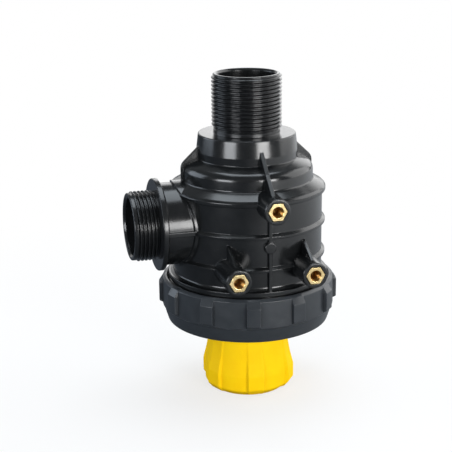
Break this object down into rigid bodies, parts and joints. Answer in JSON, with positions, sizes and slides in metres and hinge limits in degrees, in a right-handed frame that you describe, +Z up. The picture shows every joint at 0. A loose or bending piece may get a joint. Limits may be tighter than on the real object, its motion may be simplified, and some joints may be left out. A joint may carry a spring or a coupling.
{
  "type": "suction filter",
  "caption": "Suction filter with a shut-off valve: threaded top and side ports, bossed black drum, union ring nut, yellow screw cap, mesh cartridge inside.",
  "frame": {"origin": "middle of the cap's foot, on the filter's axis, where the filter stands", "axes": "+Z up along the filter's axis to the threaded top spigot, -X along the side port, -Y out of the three mounting bosses"},
  "size_m": [0.1279, 0.1152, 0.1964],
  "materials": {
    "black_plastic": "glossy black moulded polypropylene with fine mould texture",
    "slate_plastic": "satin slate grey moulded plastic",
    "yellow_plastic": "satin yellow moulded plastic",
    "natural_plastic": "satin natural white plastic",
    "brass": "machined brass",
    "steel": "stainless steel",
    "rubber": "black nitrile rubber"
  },
  "bodies": {
    "housing_body": {"housing": "black_plastic", "insert_upper": "brass", "insert_lower_left": "brass", "insert_lower_right": "brass", "spring_guide": "natural_plastic", "valve_seat": "natural_plastic", "seat_o_ring": "rubber", "valve_spring": "steel"},
    "valve_body": {"valve_plunger": "natural_plastic", "plunger_seal": "rubber", "seal_retainer": "natural_plastic"},
    "cartridge_body": {"cartridge_cage": "natural_plastic", "mesh_screen": "steel", "top_gasket": "rubber", "bottom_gasket": "rubber"},
    "lid_body": {"lid": "black_plastic", "lid_o_ring": "rubber", "rod_o_ring": "rubber", "rod_bush": "natural_plastic"},
    "ring_nut_body": {"ring_nut": "slate_plastic"},
    "rod_body": {"push_rod": "natural_plastic", "rod_washer": "steel", "rod_screw": "steel"},
    "cap_body": {"cap": "yellow_plastic", "cap_plug": "yellow_plastic"}
  },
  "joints": [
    {"name": "valve_lift", "type": "slide", "parent": "housing_body", "child": "valve_body", "axis": [0, 0, 1], "range_m": [-0.008, 0], "deforming": ["valve_spring"]},
    {"name": "cartridge_pull", "type": "slide", "parent": "housing_body", "child": "cartridge_body", "axis": [0, 0, 1], "range_m": [-0.095, 0]},
    {"name": "lid_drop", "type": "slide", "parent": "cartridge_body", "child": "lid_body", "axis": [0, 0, 1], "range_m": [-0.015, 0]},
    {"name": "ring_nut_turn", "type": "hinge", "parent": "lid_body", "child": "ring_nut_body", "pos_m": [0, 0, 0.0455], "axis": [0, 0, 1], "range_deg": [-900, 0]},
    {"name": "rod_slide", "type": "slide", "parent": "lid_body", "child": "rod_body", "axis": [0, 0, 1], "range_m": [-0.008, 0]},
    {"name": "cap_turn", "type": "hinge", "parent": "rod_body", "child": "cap_body", "pos_m": [0, 0, 0], "axis": [0, 0, 1], "range_deg": [-720, 0]}
  ],
  "couplings": [
    {"joint": "lid_drop", "follows": "ring_nut_turn", "m_per_rad": 0.00095493},
    {"joint": "rod_slide", "follows": "cap_turn", "m_per_rad": 0.00063662},
    {"joint": "valve_lift", "follows": "cap_turn", "m_per_rad": 0.00063662}
  ]
}
